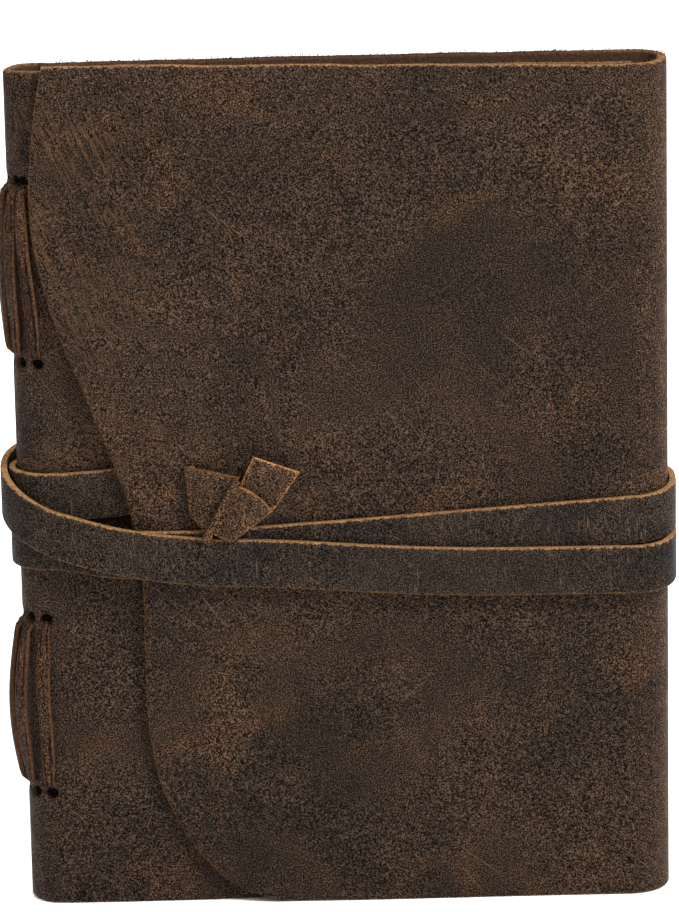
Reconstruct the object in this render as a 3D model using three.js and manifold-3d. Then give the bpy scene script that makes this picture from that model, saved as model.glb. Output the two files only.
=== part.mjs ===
// Wrap-around leather journal: one hide folded round five sewn paper signatures,
// a flap that covers the front, long-stitch leather laces on the spine and a wrap strap.
// Millimetres, +Z up. The journal stands on its bottom edge, spine at -X, flap facing -Y.
import * as THREE from 'three';
import { mergeVertices } from 'three/addons/utils/BufferGeometryUtils.js';
import Module from 'manifold-3d';

const wasm = await Module();
wasm.setup();

// Driving dimensions
const GAP = 0.3;
const COVER_HEIGHT = 203;
const COVER_WIDTH = 154;
const HIDE = 2.4;
const PAGE_HEIGHT = 178;
const PAGE_WIDTH = 127;
const SIGNATURES = 5;
const SIGNATURE_THICKNESS = 1.8;
const BACK_CORNER_RADIUS = 5;
const FRONT_CORNER_RADIUS = 8;
const STRAP_WIDTH = 11.6;
const STRAP_THICKNESS = 1.7;
const STRAP_GAP = 0.25;
const SLIT_HEIGHT = 104;
const ANCHOR_HEIGHT = 102;
const TAIL_HEIGHT = 106;
const TAIL_END = -6;
const LACE_THICKNESS = 1.2;
const LACE_WIDTH = 3.2;
const LACE_LEG_WIDTH = 1.8;
const LACE_BOW = { upper: 1, lower: 2.3 };
const HOLE_RADIUS = 1.35;
const STATIONS = [29, 70.5, 135, 176.5];
const LACE_ANGLES = [75, 41, 8, -25, -58];
const LEANING_LACE_TOP = 59.5;
const COVER_JOINT = 7.1;
const SLIT_X = -35.5;
const ROUND_SIDES = 12;

// The strap's run: its height as it leaves each turn, and where it steps down off the flap
const BACK_HEIGHTS = [97, 84.6];
const FOLD_HEIGHTS = [94.2, 82.6];
const SPINE_HEIGHTS = [90.1, 94];
const FIRST_DIP = [91.4, 89.1, 88.6];
const SECOND_DIP = [83.2, 86, 88.8];
const DIP_X = [24, -16, -46];
const TAIL_END_HEIGHT = 104.5;
const STEP_TOP = -53;
const STEP_FEET = [-68, -78];
const TURN_STEPS = 24;
const RUN_STEPS = 44;

// The soft cover: leaning back above the pages, and the flap lifted over the strap
const PINCH_FROM = 186;
const PINCH_DEPTH = 3.5;
const LIFT_END_X = -6;
const LIFT_REACH = 46;
const FLAP_EDGE_X = -47.7;
const FLAP_SWEEP = 23.9;
const FLAP_TOP_CORNER = 3.6;
const FLAP_BOTTOM_RADIUS = 52;
const FLAP_BOTTOM_REACH = 34;

// Values that follow from them
const SIGNATURE_PITCH = SIGNATURE_THICKNESS + GAP;
const BLOCK = SIGNATURES * SIGNATURE_PITCH - GAP;
const COVER_MID = BLOCK / 2 + 0.4 + HIDE / 2;
const COVER_OUTER = COVER_MID + HIDE / 2;
const SPINE_INNER = COVER_MID - HIDE / 2;
const SPINE_X = COVER_OUTER - COVER_WIDTH / 2;
const FLAP_MID = COVER_OUTER + GAP + HIDE / 2;
const FLAP_OUTER = FLAP_MID + HIDE / 2;
const STRIP_X = COVER_WIDTH / 2 - HIDE / 2;
const BACK_CORNER = [STRIP_X - BACK_CORNER_RADIUS, COVER_MID - BACK_CORNER_RADIUS];
const FRONT_CORNER = [STRIP_X - FRONT_CORNER_RADIUS, FRONT_CORNER_RADIUS - FLAP_MID];
const FRONT_COVER_EDGE = FRONT_CORNER[0] + 0.6;
const COVER_JOINT_X = SPINE_X + COVER_JOINT;
const STRAP_LAYER = STRAP_GAP + STRAP_THICKNESS / 2;
const STRAP_PITCH = STRAP_GAP + STRAP_THICKNESS;
const RAD = Math.PI / 180;

const LEATHER = { color: 0x3a2a1f, roughness: 0.6, metalness: 0 };
const STRAP_LEATHER = { color: 0x2b2320, roughness: 0.55, metalness: 0 };
const LACE_LEATHER = { color: 0x5a3620, roughness: 0.75, metalness: 0 };
const PAPER = { color: 0xd9ccb0, roughness: 0.9, metalness: 0 };

const smooth = (from, to, value) => THREE.MathUtils.smoothstep(value, from, to);

// ---------- solids ----------

// Six times the volume the triangles close; negative when they face inwards.
function signedVolume(points, triangles) {
  return triangles.reduce((sum, [a, b, c]) => {
    const [ax, ay, az] = points[a];
    const [bx, by, bz] = points[b];
    const [cx, cy, cz] = points[c];
    return sum + ax * (by * cz - bz * cy) + ay * (bz * cx - bx * cz) + az * (bx * cy - by * cx);
  }, 0);
}

function geometryOf(points, triangles) {
  const outward = signedVolume(points, triangles) > 0;
  const faces = outward ? triangles : triangles.map(([a, b, c]) => [a, c, b]);
  const geometry = new THREE.BufferGeometry();
  geometry.setAttribute('position', new THREE.Float32BufferAttribute(points.flat(), 3));
  geometry.setIndex(faces.flat());
  return geometry;
}

// A thick sheet from two grids of points, outer[i][j] and inner[i][j], closed round its rim.
function sheet(outer, inner) {
  const rows = outer.length;
  const columns = outer[0].length;
  const points = [...outer.flat(), ...inner.flat()];
  const triangles = [];
  const at = (side, i, j) => side * rows * columns + i * columns + j;
  const quad = (a, b, c, d) => triangles.push([a, b, c], [a, c, d]);
  for (let i = 0; i + 1 < rows; i++) {
    for (let j = 0; j + 1 < columns; j++) {
      quad(at(0, i, j), at(0, i + 1, j), at(0, i + 1, j + 1), at(0, i, j + 1));
      quad(at(1, i, j), at(1, i, j + 1), at(1, i + 1, j + 1), at(1, i + 1, j));
    }
    quad(at(0, i, 0), at(1, i, 0), at(1, i + 1, 0), at(0, i + 1, 0));
    quad(at(0, i, columns - 1), at(0, i + 1, columns - 1), at(1, i + 1, columns - 1), at(1, i, columns - 1));
  }
  for (let j = 0; j + 1 < columns; j++) {
    quad(at(0, 0, j), at(0, 0, j + 1), at(1, 0, j + 1), at(1, 0, j));
    quad(at(0, rows - 1, j), at(1, rows - 1, j), at(1, rows - 1, j + 1), at(0, rows - 1, j + 1));
  }
  return geometryOf(points, triangles);
}

function manifoldOf(geometry) {
  const bare = new THREE.BufferGeometry();
  bare.setAttribute('position', geometry.getAttribute('position'));
  bare.setIndex(geometry.getIndex());
  const merged = mergeVertices(bare, 1e-5);
  const vertProperties = new Float32Array(merged.getAttribute('position').array);
  const triVerts = new Uint32Array(merged.getIndex().array);
  return new wasm.Manifold(new wasm.Mesh({ numProp: 3, vertProperties, triVerts }));
}

function geometryFrom(solid) {
  const mesh = solid.getMesh();
  const geometry = new THREE.BufferGeometry();
  geometry.setAttribute('position', new THREE.BufferAttribute(new Float32Array(mesh.vertProperties), 3));
  geometry.setIndex(new THREE.BufferAttribute(new Uint32Array(mesh.triVerts), 1));
  return geometry;
}

function cut(geometry, tools) {
  const solid = tools.reduce((left, tool) => left.subtract(manifoldOf(tool)), manifoldOf(geometry));
  return geometryFrom(solid);
}

// ---------- plan outlines, each a list of { x, y, nx, ny } on the middle of the leather ----------

function line(x0, y0, x1, y1, nx, ny, steps) {
  return Array.from({ length: steps + 1 }, (_, i) => {
    const t = i / steps;
    return { x: x0 + (x1 - x0) * t, y: y0 + (y1 - y0) * t, nx, ny };
  });
}

function arc(centre, radius, from, to, steps) {
  return Array.from({ length: steps + 1 }, (_, i) => {
    const angle = (from + ((to - from) * i) / steps) * RAD;
    const nx = Math.cos(angle);
    const ny = Math.sin(angle);
    return { x: centre[0] + radius * nx, y: centre[1] + radius * ny, nx, ny };
  });
}

const gapAngle = (radius) => GAP / 2 / radius / RAD;

// How far the soft leather leans back towards the mid plane above the pages, most at the spine.
function pinch(x, z) {
  const lean = PINCH_DEPTH * Math.max(0, STRIP_X - x) / COVER_WIDTH;
  const rise = Math.max(0, (z - PINCH_FROM) / (COVER_HEIGHT - PINCH_FROM));
  return lean * rise * rise;
}

// How far the flap stands off the front cover where the strap passes beneath it.
function lift(x, z) {
  const across = 1 - smooth(SLIT_X, LIFT_END_X, x);
  const along = 1 - smooth(STRAP_WIDTH / 2 + 2, LIFT_REACH, Math.abs(z - SLIT_HEIGHT + 1));
  return (STRAP_PITCH + 0.1) * across * along;
}

function panel(outline, heights, offset) {
  const side = (half) => heights.map((z) => outline.map((p) => {
    const x = p.x + p.nx * half;
    const y = p.y + p.ny * half;
    return [x, y + offset(p, z), z];
  }));
  return sheet(side(HIDE / 2), side(-HIDE / 2));
}

const HEIGHTS = [0, 30, 60, 90, 120, 150, 175, 186, 190, 194, 197, 200, COVER_HEIGHT];
const frontShare = (p) => Math.max(0, -p.ny);
const coverOffset = (p, z) => pinch(p.x, z) * frontShare(p);

// ---------- the hide ----------

const spineCentre = [SPINE_X, 0];

function laceHole(angle, z) {
  const tool = new THREE.CylinderGeometry(HOLE_RADIUS, HOLE_RADIUS, 3 * HIDE, ROUND_SIDES);
  const out = new THREE.Vector3(-Math.cos(angle * RAD), -Math.sin(angle * RAD), 0);
  tool.applyQuaternion(new THREE.Quaternion().setFromUnitVectors(new THREE.Vector3(0, 1, 0), out));
  tool.translate(SPINE_X + COVER_MID * out.x, COVER_MID * out.y, z);
  tool.deleteAttribute('normal');
  tool.deleteAttribute('uv');
  return tool;
}

// Each lace runs between two stations; the first lace of the upper group leans to its neighbour's hole.
function laceEnds(column, group) {
  const angle = LACE_ANGLES[column];
  const leaning = column === 0 && group === 'upper';
  const [bottom, top] = group === 'upper' ? STATIONS.slice(2) : STATIONS.slice(0, 2);
  return { bottom: [angle, bottom], top: [leaning ? LEANING_LACE_TOP : angle, top] };
}

const laces = LACE_ANGLES.flatMap((_, column) => ['upper', 'lower'].map((group) => ({
  name: `lace_${group}_${column + 1}`,
  bow: LACE_BOW[group],
  ...laceEnds(column, group),
})));
const holes = laces.flatMap((item) => [item.bottom, item.top]);

function spine() {
  const outline = [
    ...arc(spineCentre, COVER_MID, 90, 270, 18),
    ...line(SPINE_X, -COVER_MID, COVER_JOINT_X - GAP / 2, -COVER_MID, 0, -1, 1).slice(1),
  ];
  const solid = panel(outline, HEIGHTS, coverOffset);
  return cut(solid, holes.map((hole) => laceHole(...hole)));
}

function frontCover() {
  const outline = line(COVER_JOINT_X + GAP / 2, -COVER_MID, FRONT_COVER_EDGE, -COVER_MID, 0, -1, 4);
  return panel(outline, HEIGHTS, coverOffset);
}

function backCover() {
  const end = 45 + gapAngle(BACK_CORNER_RADIUS);
  const outline = [
    ...arc(BACK_CORNER, BACK_CORNER_RADIUS, end, 90, 4),
    ...line(BACK_CORNER[0], COVER_MID, SPINE_X + GAP, COVER_MID, 0, 1, 2).slice(1),
  ];
  return panel(outline, [0, COVER_HEIGHT], () => 0);
}

function foreEdgeStrip() {
  const outline = [
    ...arc(FRONT_CORNER, FRONT_CORNER_RADIUS, -45 + gapAngle(FRONT_CORNER_RADIUS), 0, 4),
    ...arc(BACK_CORNER, BACK_CORNER_RADIUS, 0, 45 - gapAngle(BACK_CORNER_RADIUS), 4),
  ];
  return panel(outline, [0, COVER_HEIGHT], () => 0);
}

// The flap's free edge: straight low down, swept out above, rounded at both corners.
function freeEdge(z) {
  const sweep = FLAP_SWEEP * smooth(80, 172, z);
  const topCorner = FLAP_TOP_CORNER * Math.max(0, (z - 170) / (COVER_HEIGHT - 170)) ** 2;
  const drop = Math.max(0, 1 - z / FLAP_BOTTOM_RADIUS);
  const bottomCorner = FLAP_BOTTOM_REACH * (1 - Math.sqrt(1 - drop * drop));
  return FLAP_EDGE_X - sweep + topCorner + bottomCorner;
}

function flap() {
  const heights = [
    0, 0.8, 2.5, 5, 9, 14, 20, 28, 38, 50, 60, 70, 80, 88, 96, 102, 108, 116, 124, 132, 140, 148,
    158, 170, 180, 186, 190, 194, 197, 200, COVER_HEIGHT,
  ];
  const corner = arc(FRONT_CORNER, FRONT_CORNER_RADIUS, -45 - gapAngle(FRONT_CORNER_RADIUS), -90, 4);
  const steps = 12;
  const side = (half) => heights.map((z) => {
    const across = Array.from({ length: steps }, (_, i) => {
      const x = THREE.MathUtils.lerp(FRONT_CORNER[0], freeEdge(z), (i + 1) / steps);
      return { x, y: -FLAP_MID, nx: 0, ny: -1 };
    });
    return [...corner, ...across].map((p) => [
      p.x + p.nx * half,
      p.y + p.ny * half + (pinch(p.x, z) - lift(p.x, z)) * frontShare(p),
      z,
    ]).reverse();
  });
  const solid = sheet(side(HIDE / 2), side(-HIDE / 2));
  const slit = new THREE.BoxGeometry(STRAP_THICKNESS + 2 * GAP, 30, STRAP_WIDTH + 2 * GAP);
  slit.translate(SLIT_X, -FLAP_MID, SLIT_HEIGHT);
  slit.deleteAttribute('normal');
  slit.deleteAttribute('uv');
  return cut(solid, [slit]);
}

// ---------- paper ----------

function signatureFold(index) {
  const y = (index - (SIGNATURES - 1) / 2) * SIGNATURE_PITCH;
  const reach = SPINE_INNER - GAP - SIGNATURE_THICKNESS / 2;
  return [SPINE_X - Math.sqrt(reach * reach - y * y), y];
}

function signature(index) {
  const [x, y] = signatureFold(index);
  const half = SIGNATURE_THICKNESS / 2;
  const shape = new THREE.Shape();
  shape.absarc(x, y, half, Math.PI / 2, (3 * Math.PI) / 2, false);
  shape.lineTo(x + PAGE_WIDTH, y - half);
  shape.lineTo(x + PAGE_WIDTH, y + half);
  shape.closePath();
  const geometry = new THREE.ExtrudeGeometry(shape, {
    depth: PAGE_HEIGHT, bevelEnabled: false, curveSegments: 8,
  });
  geometry.translate(0, 0, (COVER_HEIGHT - PAGE_HEIGHT) / 2);
  return geometry;
}

// ---------- laces ----------

function lace({ bottom, top, bow }) {
  const legs = [SPINE_INNER + 0.2, COVER_MID, COVER_OUTER + 0.2];
  const resting = COVER_OUTER + GAP + LACE_THICKNESS / 2;
  const stations = [];
  const half = LACE_THICKNESS / 2;
  const add = (share, radius, width, rise) => stations.push({ share, radius, width, rise });
  legs.forEach((radius) => add(0, radius, LACE_LEG_WIDTH, 0));
  const steps = 12;
  for (let i = 0; i <= steps; i++) {
    const share = i / steps;
    const arch = Math.sin(Math.PI * share);
    const width = LACE_LEG_WIDTH + (LACE_WIDTH - LACE_LEG_WIDTH) * smooth(0, 0.6, arch);
    add(share, resting + bow * arch, width, 1);
  }
  [...legs].reverse().forEach((radius) => add(1, radius, LACE_LEG_WIDTH, 0));
  const frame = ({ share, radius, width, rise }, side) => {
    const angle = (bottom[0] + (top[0] - bottom[0]) * share) * RAD;
    const out = [-Math.cos(angle), -Math.sin(angle)];
    const z = bottom[1] + (top[1] - bottom[1]) * share;
    const outwards = rise ? half * side : 0;
    const along = rise ? 0 : half * side * (share ? 1 : -1);
    return [-1, 1].map((edge) => [
      SPINE_X + out[0] * (radius + outwards) - out[1] * edge * width / 2,
      out[1] * (radius + outwards) + out[0] * edge * width / 2,
      z + along,
    ]);
  };
  const outer = stations.map((station) => frame(station, 1));
  const inner = stations.map((station) => frame(station, -1));
  return sheet(outer, inner);
}

// ---------- the strap ----------

// Plan curves the strap follows, from its slit round the journal to its free end.
const strapRound = COVER_OUTER + STRAP_LAYER;
const strapOutside = strapRound + STRAP_PITCH;
const strapFront = FLAP_OUTER + STRAP_LAYER;
const knotBase = -FLAP_OUTER - lift(SLIT_X, SLIT_HEIGHT) - GAP;

function withHeight(outline, from, to) {
  const last = outline.length - 1;
  return outline.map((p, i) => [p.x, p.y, THREE.MathUtils.lerp(from, to, smooth(0, last, i))]);
}

function spineTurn(radius, from, to) {
  return withHeight(arc(spineCentre, radius, 270, 90, TURN_STEPS), from, to);
}

// The outermost turn starts a little proud and climbs quickly to the tail's height.
function lastTurn(from, to) {
  const proud = smooth(STEP_FEET[1], STEP_TOP, SPINE_X) * (strapFront - strapRound);
  const outline = arc(spineCentre, strapOutside, 270, 90, TURN_STEPS);
  return outline.map((p, i) => {
    const share = i / TURN_STEPS;
    const extra = proud * (1 - smooth(0, 0.6, share));
    const rise = Math.sin((share * Math.PI) / 2);
    return [p.x + p.nx * extra, p.y + p.ny * extra, from + (to - from) * rise];
  });
}

function backRun(y, from, to) {
  return withHeight(line(SPINE_X, y, BACK_CORNER[0], y, 0, 1, 12), from, to).slice(1);
}

// Round the fore-edge fold; the strap may end one layer further out than it starts.
function foreEdgeTurn(from, to, step) {
  const back = arc(BACK_CORNER, BACK_CORNER_RADIUS + HIDE / 2 + STRAP_LAYER, 90, 0, 8).slice(1);
  const radius = FRONT_CORNER_RADIUS + HIDE / 2 + STRAP_LAYER;
  const front = arc(FRONT_CORNER, radius, 0, -90, 10).map((p, i) => {
    const extra = step * smooth(0, 8, i);
    return { ...p, x: p.x + p.nx * extra, y: p.y + p.ny * extra };
  });
  return withHeight([...back, ...front], from, to);
}

// Across the front with this many layers of strap beneath, sagging through the dip's heights.
// Left of the flap's free edge the run steps down to the front cover.
function frontRun(turn, dip) {
  const heights = [FOLD_HEIGHTS[turn], ...dip, SPINE_HEIGHTS[turn]];
  const places = [FRONT_CORNER[0], ...DIP_X, SPINE_X];
  const curve = new THREE.SplineCurve(places.map((x, i) => new THREE.Vector2(x, heights[i])));
  return curve.getPoints(RUN_STEPS).slice(1, -1).map(({ x, y: z }) => {
    const onFlap = smooth(STEP_FEET[turn], STEP_TOP, x);
    const overFlap = strapFront - strapRound + lift(x, z);
    return [x, -strapRound - onFlap * overFlap - turn * STRAP_PITCH, z];
  });
}

// Down through the slit from the knot, then left beneath the flap.
function anchorRun() {
  const bend = STRAP_THICKNESS / 2 + 0.2;
  const centre = [SLIT_X - bend, -strapRound - bend];
  const head = line(SLIT_X, knotBase, SLIT_X, centre[1], 1, 0, 2);
  const corner = arc(centre, bend, 0, 90, 4).slice(1);
  const run = line(centre[0], -strapRound, SPINE_X, -strapRound, 0, -1, 6).slice(1);
  return [
    ...withHeight([...head, ...corner], SLIT_HEIGHT, SLIT_HEIGHT),
    ...withHeight(run, SLIT_HEIGHT, ANCHOR_HEIGHT),
  ];
}

const strapRoute = [
  ...anchorRun(),
  ...spineTurn(strapRound, ANCHOR_HEIGHT, ANCHOR_HEIGHT).slice(1),
  ...backRun(strapRound, ANCHOR_HEIGHT, BACK_HEIGHTS[0]),
  ...foreEdgeTurn(BACK_HEIGHTS[0], FOLD_HEIGHTS[0], 0),
  ...frontRun(0, FIRST_DIP),
  ...spineTurn(strapRound, SPINE_HEIGHTS[0], SPINE_HEIGHTS[0]),
  ...backRun(strapRound, SPINE_HEIGHTS[0], BACK_HEIGHTS[1]),
  ...foreEdgeTurn(BACK_HEIGHTS[1], FOLD_HEIGHTS[1], STRAP_PITCH),
  ...frontRun(1, SECOND_DIP),
  ...lastTurn(SPINE_HEIGHTS[1], TAIL_HEIGHT),
];
const tailLine = line(SPINE_X, strapOutside, TAIL_END, strapOutside, 0, 1, 8);
const tailRoute = withHeight(tailLine, TAIL_HEIGHT, TAIL_END_HEIGHT);

// A flat strap that stands on edge and follows a list of middle points.
function ribbon(points) {
  const facing = points.map((p, i) => {
    const before = points[Math.max(0, i - 1)];
    const after = points[Math.min(points.length - 1, i + 1)];
    const length = Math.hypot(after[0] - before[0], after[1] - before[1]);
    return [-(after[1] - before[1]) / length, (after[0] - before[0]) / length];
  });
  const side = (sign) => points.map((p, i) => [-1, 1].map((edge) => [
    p[0] + facing[i][0] * sign * STRAP_THICKNESS / 2,
    p[1] + facing[i][1] * sign * STRAP_THICKNESS / 2,
    p[2] - edge * STRAP_WIDTH / 2,
  ]));
  return sheet(side(1), side(-1));
}

// The strap and its tail share an end point; each is pulled back by half the gap.
function trimmed(points) {
  const pull = (end, next) => {
    const delta = next.map((value, k) => value - end[k]);
    const length = Math.hypot(...delta);
    return end.map((value, k) => value + (delta[k] * STRAP_GAP) / 2 / length);
  };
  const last = points.length - 1;
  return [pull(points[0], points[1]), ...points.slice(1, last), pull(points[last], points[last - 1])];
}

// ---------- the knot: the strap's head, folded flat over its slit ----------

// A flat fold of strap with its corners at [x, y, z] on its outer face.
function fold(corners, thickness) {
  const outer = corners;
  const inner = corners.map(([x, y, z]) => [x, y + thickness, z]);
  const count = corners.length;
  const triangles = [];
  for (let i = 1; i + 1 < count; i++) {
    triangles.push([0, i, i + 1], [count, count + i + 1, count + i]);
  }
  for (let i = 0; i < count; i++) {
    const next = (i + 1) % count;
    triangles.push([i, count + i, count + next], [i, count + next, next]);
  }
  return geometryOf([...outer, ...inner], triangles);
}

function roll(from, to, radius) {
  const start = new THREE.Vector3(...from);
  const end = new THREE.Vector3(...to);
  const geometry = new THREE.CylinderGeometry(radius, radius, start.distanceTo(end), ROUND_SIDES);
  const direction = end.clone().sub(start).normalize();
  geometry.applyQuaternion(new THREE.Quaternion().setFromUnitVectors(new THREE.Vector3(0, 1, 0), direction));
  geometry.translate(...start.add(end).multiplyScalar(0.5).toArray());
  return geometry;
}

const knotFront = knotBase - 2 * STRAP_PITCH - STRAP_THICKNESS;

const knotPieces = {
  knot_wrap: fold([
    [-37.2, knotBase - 2.2, 109.6], [-36.2, knotBase - 2.6, 98.6], [-34.6, knotFront, 94.2],
    [-26.8, knotBase - 3, 106.2], [-25.4, knotBase - 2.4, 109],
  ], 1.9),
  knot_fold: fold([
    [-24.2, knotFront - 0.4, 105.8], [-31, knotFront - 0.6, 94.6], [-27.2, knotFront - 0.5, 92.9],
    [-16.8, knotFront + 0.2, 98.6], [-17.1, knotFront + 0.3, 100.4],
  ], 1.8),
  knot_roll: roll([-25.6, knotFront - 0.2, 107.8], [-32.6, knotFront - 0.6, 95.6], 1.2),
  strap_head: fold([
    [-20.9, knotBase - 2.4, 112.5], [-23.9, knotBase - 2.6, 106.4], [-17.4, knotBase - 2.5, 100.6],
    [-12, knotBase - 2, 105.2], [-10.4, knotBase - 1.9, 108.4],
  ], 1.7),
};

// ---------- assembly ----------

const journal = new THREE.Group();

function place(name, geometry, finish) {
  const mesh = new THREE.Mesh(geometry, new THREE.MeshStandardMaterial(finish));
  mesh.name = name;
  journal.add(mesh);
}

place('back_cover', backCover(), LEATHER);
place('spine', spine(), LEATHER);
place('front_cover', frontCover(), LEATHER);
place('fore_edge_strip', foreEdgeStrip(), LEATHER);
place('flap', flap(), LEATHER);
for (let index = 0; index < SIGNATURES; index++) {
  place(`signature_${index + 1}`, signature(index), PAPER);
}
laces.forEach((item) => place(item.name, lace(item), LACE_LEATHER));
place('strap', ribbon(trimmed(strapRoute)), STRAP_LEATHER);
place('strap_tail', ribbon(trimmed(tailRoute)), STRAP_LEATHER);
Object.entries(knotPieces).forEach(([name, geometry]) => place(name, geometry, LACE_LEATHER));

// The origin is the middle of the bottom of the whole object's box.
const box = new THREE.Box3().setFromObject(journal);
journal.position.set(-(box.min.x + box.max.x) / 2, -(box.min.y + box.max.y) / 2, -box.min.z);

const model = new THREE.Group();
model.add(journal);

export default model;
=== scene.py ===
import math
import random

import bpy
import numpy as np
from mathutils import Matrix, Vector, noise


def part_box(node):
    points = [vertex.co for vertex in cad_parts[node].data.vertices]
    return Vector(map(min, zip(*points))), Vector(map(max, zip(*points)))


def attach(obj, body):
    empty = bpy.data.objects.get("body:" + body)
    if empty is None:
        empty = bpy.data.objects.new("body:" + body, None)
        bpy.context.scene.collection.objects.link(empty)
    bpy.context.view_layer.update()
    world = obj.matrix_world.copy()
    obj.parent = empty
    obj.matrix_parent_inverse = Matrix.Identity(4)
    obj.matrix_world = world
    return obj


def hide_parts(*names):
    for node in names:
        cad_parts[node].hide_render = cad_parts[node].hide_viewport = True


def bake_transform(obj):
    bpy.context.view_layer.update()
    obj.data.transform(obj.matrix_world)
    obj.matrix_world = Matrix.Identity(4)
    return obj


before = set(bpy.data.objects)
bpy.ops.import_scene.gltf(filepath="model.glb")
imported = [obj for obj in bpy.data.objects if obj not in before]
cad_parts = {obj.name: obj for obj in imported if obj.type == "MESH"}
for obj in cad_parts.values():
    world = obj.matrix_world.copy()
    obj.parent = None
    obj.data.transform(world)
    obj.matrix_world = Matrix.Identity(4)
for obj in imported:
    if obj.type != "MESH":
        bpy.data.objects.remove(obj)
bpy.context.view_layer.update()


def box_mm(node):
    return [[c * 1000 for c in corner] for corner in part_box(node)]


# ---------- sizes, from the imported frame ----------

SPINE_LOW, SPINE_HIGH = box_mm("spine")
STRIP_LOW, STRIP_HIGH = box_mm("fore_edge_strip")
SIGNATURE_LOW, SIGNATURE_HIGH = box_mm("signature_1")
COVER_WIDTH = STRIP_HIGH[0] - SPINE_LOW[0]
COVER_HEIGHT = SPINE_HIGH[2]
COVER_OUTER = (SPINE_HIGH[1] - SPINE_LOW[1]) / 2
CENTRE_X = (STRIP_HIGH[0] + SPINE_LOW[0]) / 2
CENTRE_Y = (SPINE_HIGH[1] + SPINE_LOW[1]) / 2
PAGE_BOTTOM, PAGE_TOP = SIGNATURE_LOW[2], SIGNATURE_HIGH[2]
SIGNATURE_THICKNESS = SIGNATURE_HIGH[1] - SIGNATURE_LOW[1]

# Sizes the boxes don't give
GAP = 0.3
HIDE = 2.4
BACK_CORNER_RADIUS = 5
FRONT_CORNER_RADIUS = 8
PAGE_WIDTH = 127
STRAP_WIDTH = 11.6
STRAP_THICKNESS = 1.7
STRAP_GAP = 0.25
SIGNATURES = 5
LEAVES = 6
SLIT_X = -35.5
SLIT_HEIGHT = 104
ANCHOR_HEIGHT = 102
TAIL_HEIGHT = 106
TAIL_END_HEIGHT = 104.5
TAIL_END = -6
STATIONS = [29, 70.5, 135, 176.5]
LACE_ANGLES = [75, 41, 8, -25, -58]
LEANING_LACE_TOP = 59.5
LACE_BOW = {"upper": 1.0, "lower": 2.3}
LACE_THICKNESS = 1.2
LACE_WIDTH = 3.2
STEP_TOP = -53
STEP_FEET = [-68, -78]
BACK_HEIGHTS = [97, 84.6]
FOLD_HEIGHTS = [94.2, 82.6]
SPINE_HEIGHTS = [90.1, 94]
DIP_X = [24, -16, -46]
DIPS = [(91.4, 89.1, 88.6), (83.2, 86, 88.8)]
HOLE_RADIUS = 1.35
HOLE_SHOWS = 1.0

# The soft shapes of the cover and the flap
PINCH_FROM = 186
PINCH_DEPTH = 3.5
LIFT_END_X = -6
LIFT_REACH = 46
FLAP_EDGE_X = -47.7
FLAP_SWEEP = 23.9
FLAP_SWEEP_HEIGHTS = (80, 172)
FLAP_TOP_CORNER = 3.6
FLAP_TOP_CORNER_FROM = 170
FLAP_BOTTOM_RADIUS = 52
FLAP_BOTTOM_REACH = 34
FLAP_WIDTH = 115
FLAP_RISE = 1.5
LACE_DIVE = 3.2
FOLD_THICKNESS = 1.6

# A distance from the raw edge at which nothing of the edge shows
INSIDE = 9.0

COVER_MID = COVER_OUTER - HIDE / 2
SPINE_X = COVER_OUTER - COVER_WIDTH / 2
FLAP_MID = COVER_OUTER + GAP + HIDE / 2
FLAP_OUTER = FLAP_MID + HIDE / 2
STRIP_X = COVER_WIDTH / 2 - HIDE / 2
BACK_CORNER = (STRIP_X - BACK_CORNER_RADIUS, COVER_MID - BACK_CORNER_RADIUS)
FRONT_CORNER = (STRIP_X - FRONT_CORNER_RADIUS, FRONT_CORNER_RADIUS - FLAP_MID)
FOLD_Y = (BACK_CORNER[1] + FRONT_CORNER[1]) / 2
FRONT_COVER_EDGE = FRONT_CORNER[0] + 0.6
STRAP_PITCH = STRAP_GAP + STRAP_THICKNESS
STRAP_LAYER = STRAP_GAP + STRAP_THICKNESS / 2
STRAP_ROUND = COVER_OUTER + STRAP_LAYER
STRAP_OUTSIDE = STRAP_ROUND + STRAP_PITCH
STRAP_FRONT = FLAP_OUTER + STRAP_LAYER


def smooth(low, high, value):
    t = np.clip((np.asarray(value, float) - low) / (high - low), 0, 1)
    return t * t * (3 - 2 * t)


def unit(vectors):
    return vectors / np.linalg.norm(vectors, axis=-1, keepdims=True)


def row_point(x, y, z):
    """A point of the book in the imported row's frame, in metres."""
    return ((x + CENTRE_X) / 1000, (y + CENTRE_Y) / 1000, z / 1000)


# ---------- the shape of the soft cover ----------

def pinch(x, z):
    """How far the leather leans back above the pages, most at the spine."""
    rise = np.maximum(0, (z - PINCH_FROM) / (COVER_HEIGHT - PINCH_FROM))
    return PINCH_DEPTH * np.maximum(0, STRIP_X - x) / COVER_WIDTH * rise ** 2


def lift(x, z):
    """How far the flap stands off the front cover where the strap passes beneath it."""
    across = 1 - smooth(SLIT_X, LIFT_END_X, x)
    along = 1 - smooth(STRAP_WIDTH / 2 + 2, LIFT_REACH, np.abs(z - SLIT_HEIGHT + 1))
    return (STRAP_PITCH + 0.1) * across * along


KNOT_BASE = -FLAP_OUTER - float(lift(SLIT_X, SLIT_HEIGHT)) - GAP


def noise_at(points, size, seed=0.0):
    """Smooth noise from -1 to 1 at each point; size is the width of its bumps in mm."""
    points = np.asarray(points, float)
    flat = points.reshape(-1, 3) / size + seed
    values = [noise.noise(Vector(p)) for p in flat]
    return np.array(values).reshape(points.shape[:-1])


def sway(x, z):
    """The slow unevenness shared by everything on the front."""
    x, z = np.broadcast_arrays(np.asarray(x, float), np.asarray(z, float))
    points = np.stack([x, np.zeros_like(x), z], -1)
    return 0.45 * noise_at(points, 46, 3.3)


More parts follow.
